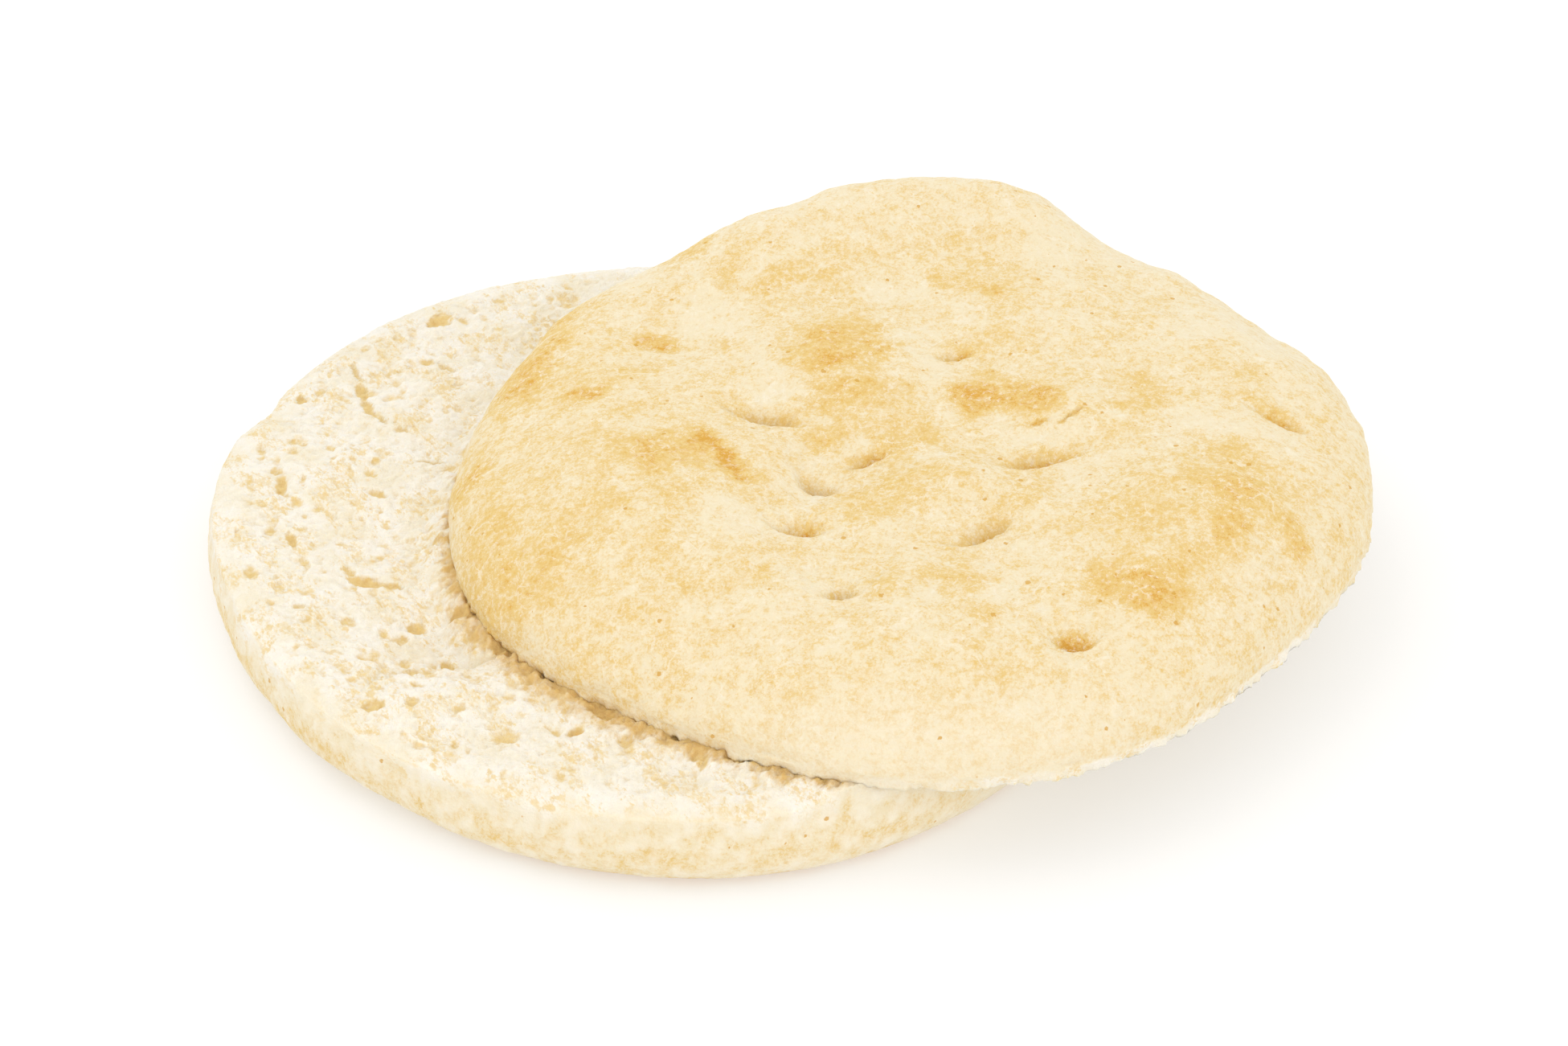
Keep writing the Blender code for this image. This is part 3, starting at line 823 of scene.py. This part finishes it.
# Baked patches: where each lies, how far it browns the crust, and its size.
PATCHES = (
    Pit(-27.0, -8.5, 1.2, 6.5, 2.2, -58),
    Pit(-31.0, -7.0, 1.05, 4.0, 3.0, 0),
    Pit(-34.0, -8.0, 0.75, 6.5, 5.0, 0),
    Pit(-33.5, -19.0, 0.4, 3.0, 4.0, 0),
    Pit(-46.0, 8.4, 0.9, 4.0, 2.4, 25),
    Pit(-41.0, 13.5, 0.5, 7.0, 3.0, 35),
    Pit(-55.0, 20.0, 0.9, 10.0, 5.5, 80),
    Pit(-53.0, 31.0, 0.85, 6.0, 4.0, 50),
    Pit(-36.6, 22.8, 0.9, 3.2, 2.6, 0),
    Pit(-12.0, 18.0, 0.85, 8.5, 7.0, 60),
    Pit(-12.5, 14.0, 1.1, 4.5, 3.5, 0),
    Pit(-10.0, 5.5, 0.65, 9.0, 4.5, 0),
    Pit(-13.5, -2.0, 0.6, 3.0, 4.0, 0),
    Pit(8.0, 6.5, 1.25, 4.0, 4.5, 60),
    Pit(15.0, 5.5, 1.15, 5.5, 4.0, -20),
    Pit(-7.4, -20.5, 0.6, 3.0, 5.0, -20),
    Pit(48.5, -20.5, 0.8, 2.6, 4.5, 20),
    Pit(42.0, -8.0, 0.6, 6.0, 4.0, 0),
    Pit(9.5, 11.5, 0.7, 3.0, 2.2, 0),
    Pit(31.5, 8.0, 0.7, 3.0, 4.5, 0),
    Pit(29.0, 4.0, 0.5, 2.5, 3.0, 0),
    Pit(49.0, 4.8, 0.65, 2.4, 2.8, 0),
    Pit(9.0, 20.0, 0.5, 6.5, 2.6, 10),
    Pit(8.0, 38.0, 0.4, 7.0, 6.0, 0),
    Pit(11.0, 32.4, 0.8, 2.0, 1.5, 0),
    Pit(9.0, 45.0, 0.25, 8.0, 3.0, 0),
    Pit(-19.0, 35.6, 0.65, 5.0, 2.8, 10),
    Pit(-12.0, 39.5, 0.5, 8.0, 3.0, 20),
    Pit(-26.5, 38.5, 0.45, 3.0, 5.0, 0),
    Pit(-33.0, 49.0, 0.65, 8.0, 4.0, 80),
    Pit(-22.0, 57.0, 0.5, 9.0, 5.0, 20),
    Pit(-50.0, 44.0, 0.6, 9.0, 2.4, 50),
    Pit(-62.5, -4.0, 0.65, 3.5, 3.5, 0),
    Pit(-58.5, -19.0, 0.5, 6.0, 4.0, 60),
    Pit(-54.0, -27.0, 0.4, 7.0, 5.5, 0),
    Pit(-26.0, -34.6, 0.5, 7.5, 3.4, 8),
    Pit(-21.5, -32.8, 0.9, 1.1, 0.9, 0),
    Pit(-2.5, -3.5, 0.7, 5.5, 4.5, 40),
    Pit(-5.0, -13.5, 0.55, 8.0, 5.5, 0),
    Pit(17.0, -6.5, 0.4, 6.0, 2.4, 10),
    Pit(14.0, -15.0, 0.4, 4.0, 5.0, 0),
    Pit(36.0, -9.0, 0.5, 2.0, 2.0, 0),
    Pit(42.5, -15.0, 0.8, 7.5, 5.0, 10),
    Pit(40.6, -23.5, 0.8, 2.4, 5.0, 0),
    Pit(30.0, -23.0, 0.3, 11.0, 8.0, 0),
    Pit(28.0, -35.0, 0.75, 8.0, 4.2, 0),
    Pit(30.5, -38.5, 0.9, 4.0, 3.0, 20),
    Pit(18.8, -45.2, 1.0, 2.6, 1.4, 5),
    Pit(-6.2, -5.8, 0.9, 1.6, 1.2, 30),
    Pit(6.6, 17.6, 0.9, 1.3, 1.1, 0),
    Pit(23.5, -35.0, 0.8, 3.0, 2.6, 0),
    Pit(4.0, -35.5, 0.55, 4.2, 3.6, 0),
    Pit(7.0, -42.0, 0.5, 2.6, 2.0, 0),
    Pit(-6.0, -35.5, 0.35, 2.6, 4.0, 0),
    Pit(45.0, 16.0, 0.35, 6.0, 4.0, 120),
    Pit(58.0, -12.0, 0.15, 3.0, 12.0, 0),
)
# Paler places, mostly in the hollows.
PALE_PLACES = (
    Pit(-3.0, 32.0, 0.35, 5.0, 3.0, 0),
    Pit(2.5, 15.0, 0.35, 3.0, 6.0, 0),
    Pit(-20.5, 12.0, 0.4, 4.5, 9.0, 15),
    Pit(18.5, -3.0, 0.35, 6.0, 2.6, 10),
    Pit(42.0, 1.0, 0.35, 8.0, 3.5, -15),
    Pit(-26.0, -22.0, 0.35, 8.0, 3.2, 0),
    Pit(-30.0, 29.0, 0.35, 6.0, 5.0, 30),
    Pit(-38.5, 17.0, 0.35, 8.0, 2.0, 22),
    Pit(46.0, 22.0, 0.25, 15.0, 7.0, -58),
    Pit(-20.0, -38.0, 0.2, 15.0, 8.0, -15),
)
CRUST_LUMP_RISE = 0.45  # soft lumps and fine wrinkles in the crust
CRUST_LUMP_SIZE = 8.0
CRUST_WRINKLE_RISE = 0.08
CRUST_WRINKLE_SIZE = 1.3
PLEAT_RISE = 0.3
PLEAT_SPREAD = 6.0  # the higher, the more pleats run down into a dimple
CHIP_RISE = 0.6  # the cut edge is chipped
CHIP_SIZE = 1.6
CHIP_FLOOR = -0.25  # it hangs no lower than this under the cut
UNDER_BUBBLES = 2200
UNDER_BUBBLE_SIZES = (0.5, 1.9)
UPPER_SEED = 11
UNDER_DUG = 0.8
MEAN_BROWNING = 0.2
PATCH_BROWNING = 1.35
# painted shade in the dimples' bottoms
DIMPLE_PAINTED_SHADE = 2.3
CRACK_BROWNING = 4.0
# painted shade on the lip and cut face where the upper half lies over the lower half
LIP_PAINTED_SHADE = 0.6
FREE_LIP = (-56.0, 38.0)  # the cut edge hangs free at this bearing, and this far round it
UPPER_CELLS = 260
LIP_RINGS = 6
WELD = 0.0005  # on the unit disc

# The crust and the cut face are drawn on two unit discs, and the lip's rings join them. Here
# "stage" is 0 on the crust, 1 at the cut and 2 on the cut face.
cap = bmesh.new()
layer = cap.verts.layers.float.new("stage")
bmesh.ops.create_grid(cap, x_segments=UPPER_CELLS, y_segments=UPPER_CELLS, size=1.0)
rim = [edge for edge in cap.edges if edge.is_boundary]
half = UPPER_CELLS // 2
under = bmesh.ops.create_grid(cap, x_segments=half, y_segments=half, size=1.0)["verts"]
for vert in under:
    vert[layer] = 2.0
under_rim = [edge for edge in cap.edges if edge.is_boundary and edge.verts[0][layer] > 1.5]
bmesh.ops.subdivide_edges(cap, edges=under_rim, cuts=1)
for vert in cap.verts:
    round_the_square(vert)
wrap_rim(cap, rim, LIP_RINGS, layer, 0.0, 1.0)
meeting = [vert for vert in cap.verts if vert.is_boundary]
bmesh.ops.remove_doubles(cap, verts=meeting, dist=WELD)
upper_mesh = finish_cells(cap, layer, "upper_bread")

unit = take(upper_mesh, "positions")
bearing = np.degrees(np.arctan2(unit[:, 1], unit[:, 0]))
share = np.minimum(np.hypot(unit[:, 0], unit[:, 1]), 1.0)
stage = take(upper_mesh, "stage")
stage = np.where(share > 0.9995, np.minimum(stage, 1.0), stage)
radius = round_rim(bearing, UPPER_RADIUS, UPPER_LOBES)
east, north = np.cos(np.radians(bearing)), np.sin(np.radians(bearing))
on_crust = stage < 0.001
on_cut = stage > 1.001
# the crust's cells are drawn closer together towards its rim, where it turns down
share = np.where(on_crust, share + share * (1.0 - share**8) / 8.0, share)
lip_share = np.clip(stage, 0.0, 1.0)
reach = share * (radius - LIP_INSET * lip_share**2)
x, y = reach * east, reach * north


def press(x, y, dimples):
    """The depth that the dimples press into the crust, how near the bottom of one each place is, and
    the pleats that run down into them."""
    depth = np.zeros(len(x))
    bottom = np.zeros(len(x))
    pleats = np.zeros(len(x))
    for dimple in dimples:
        along, behind = turned(x - dimple.x, y - dimple.y, dimple.heading)
        behind = behind - dimple.bend * along**2
        back = np.maximum(behind, 0.0) / dimple.reach
        front = bell(np.minimum(behind, 0.0) / FRONT_LIP)
        skewed = along / dimple.wide - dimple.lean
        skewed = skewed / (1.0 - 0.6 * dimple.lean * np.sign(skewed))
        dish = bell(np.hypot(along / DISH_SIZE[0], (behind - 0.35 * DISH_SIZE[1]) / DISH_SIZE[1]))
        pit = bell(skewed) * bell(back) * front
        depth = depth + dimple.depth * ((1.0 - DISH_SHARE) * pit + DISH_SHARE * dish)
        bottom = np.maximum(bottom, pit * min(1.0, dimple.depth / FULL_DEPTH))
        swing = np.arctan2(behind + 1.0, along - dimple.lean * dimple.wide)
        far = 0.15 * np.hypot(along, behind)
        round_x, round_y = PLEAT_SPREAD * np.cos(swing), PLEAT_SPREAD * np.sin(swing)
        fold = noise_at(round_x, round_y, far + dimple.x, 1.0)
        pleats = pleats + fold * dish * min(1.0, dimple.depth / FULL_DEPTH)
    return depth, bottom, pleats


def patch_tones(x, y, patches):
    """How far the patches brown each place, with ragged edges."""
    ragged = 0.5 * noise_at(x, y, 5.0, 3.2, 4)
    tone = np.zeros(len(x))
    for patch in patches:
        along, across = turned(x - patch.x, y - patch.y, patch.heading)
        away = np.hypot(along / patch.along, across / patch.across) + ragged
        tone = np.maximum(tone, patch.depth * (1.0 - smooth(away, 0.45, 1.45)))
    return tone


from_edge = (1.0 - share) * radius
shoulder = round_rim(bearing, SHOULDER, SHOULDER_LOBES)
turn_down = np.clip(1.0 - from_edge / shoulder, 0.0, 1.0)
swelling = swells_at(x, y, CRUST_SWELLS)
pressed, bottom, pleats = press(x, y, DIMPLES)
full = CROWN_HEIGHT - LIP_HEIGHT + swelling - pressed
crust_height = CUT_HEIGHT + LIP_HEIGHT + full * np.sqrt(1.0 - turn_down**2)
lip_height = CUT_HEIGHT + LIP_HEIGHT * (1.0 - lip_share)
height = np.where(on_crust, crust_height, np.where(on_cut, CUT_HEIGHT, lip_height))
give_points(upper_mesh, np.stack([x, y, height], 1))
outward = take(upper_mesh, "normals")

# lumps, wrinkles, pleats and cracks in the crust, and the torn, chipped edge of the cut
wrinkles = noise_at(x, y, height, CRUST_WRINKLE_SIZE, 3)
lumps = CRUST_LUMP_RISE * noise_at(x, y, height, CRUST_LUMP_SIZE, 3)
lumps = lumps + CRUST_WRINKLE_RISE * wrinkles + PLEAT_RISE * pleats
cracks = dig(x, y, CRACKS)
lumps = np.where(on_crust, lumps - cracks, 0.07 * wrinkles)
near_rim = np.where(on_cut, smooth(share, 0.96, 1.0), smooth(lip_share, 0.2, 1.0))
tear = 0.35 * noise_at(x, y, 0.0, 0.9, 2) + 0.6 * noise_at(x, y, 0.0, 2.4, 3)
tear = tear + 0.5 * noise_at(x, y, 7.0, 6.0)
tear = near_rim * tear
chip = smooth(lip_share, 0.3, 1.0) * CHIP_RISE * noise_at(x, y, 3.0, CHIP_SIZE, 3)
bubbles = scatter_bubbles(UNDER_BUBBLES, UNDER_BUBBLE_SIZES, UPPER_RADIUS - BUBBLE_MARGIN, UPPER_SEED)
under_bubbles = np.where(on_cut, dig(x, y, bubbles), 0.0)
points = np.stack([x + tear * east, y + tear * north, height], 1)
points += outward * np.where(on_cut, 0.0, lumps)[:, None]
points[:, 2] += np.where(on_cut, UNDER_DUG * under_bubbles, np.maximum(chip, CHIP_FLOOR))
points = (points + np.array([*UPPER_CENTRE, 0.0])) * MM
give_points(upper_mesh, points)

# The crust is browner on its patches, swells and cracks, darker towards the left, and paler in the dishes
# round the dimples and at the back. The dimples' bottoms are painted darker as shade.
patches = patch_tones(x, y, PATCHES) - patch_tones(x, y, PALE_PLACES)
browning = MEAN_BROWNING + PATCH_BROWNING * patches
browning = browning + 0.08 * (swelling - 2.0) + DIMPLE_PAINTED_SHADE * bottom - 0.14 * pressed
browning = browning + np.where(on_crust, CRACK_BROWNING * np.clip(cracks, 0.0, 0.5), 0.0)
browning = browning + 0.3 * smooth(-x, 20.0, 55.0) - 0.55 * smooth(y, 30.0, 50.0)

# the cut edge shows white crumb only where it stands free of the lower half, at the front right
lower_x, lower_y = x + UPPER_CENTRE[0] - LOWER_CENTRE[0], y + UPPER_CENTRE[1] - LOWER_CENTRE[1]
lower_rim = round_rim(np.degrees(np.arctan2(lower_y, lower_x)), LOWER_RADIUS, LOWER_LOBES)
over_lower = smooth(lower_rim - np.hypot(lower_x, lower_y), 0.0, 3.0)
white_lip = bell((turn_from(bearing, FREE_LIP[0]) / FREE_LIP[1]) ** 2) * (1.0 - over_lower)
lip_crumb = smooth(lip_share + 0.25 * noise_at(x, y, height, 1.2, 3), 0.1, 0.4) * white_lip
# painted shade: where the upper half lies over the lower half, its lip is painted browner low down and its
# cut face darker near the rim
lip_shade = over_lower * np.where(on_cut, 1.0, smooth(lip_share, 0.75, 1.0))
give_attribute(upper_mesh, "flour", 0.35 * smooth(-y, 50.0, 60.0))
give_attribute(upper_mesh, "browning", browning + LIP_PAINTED_SHADE * np.where(on_crust, 0.0, lip_shade))
give_attribute(upper_mesh, "crumb", np.where(on_cut, 1.0, np.where(on_crust, 0.0, lip_crumb)))
# painted shade: the bubbles in the cut face are painted golden
give_attribute(upper_mesh, "hollow_shade", under_bubbles)
give_attribute(upper_mesh, "shade", np.where(on_cut, lip_shade * smooth(share, 0.9, 0.97), 0.0))
upper_mesh.shade_smooth()
upper_mesh.materials.append(bread_material("upper bread"))
upper = bpy.data.objects.new("upper_bread", upper_mesh)
bpy.context.scene.collection.objects.link(upper)
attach(upper, "root")
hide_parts("upper_half")

# ---------------------------------------------------------------- sizes
# How many triangles each half is made of.

for piece in (lower, upper):
    print(piece.name, sum(len(face.vertices) - 2 for face in piece.data.polygons), "triangles")
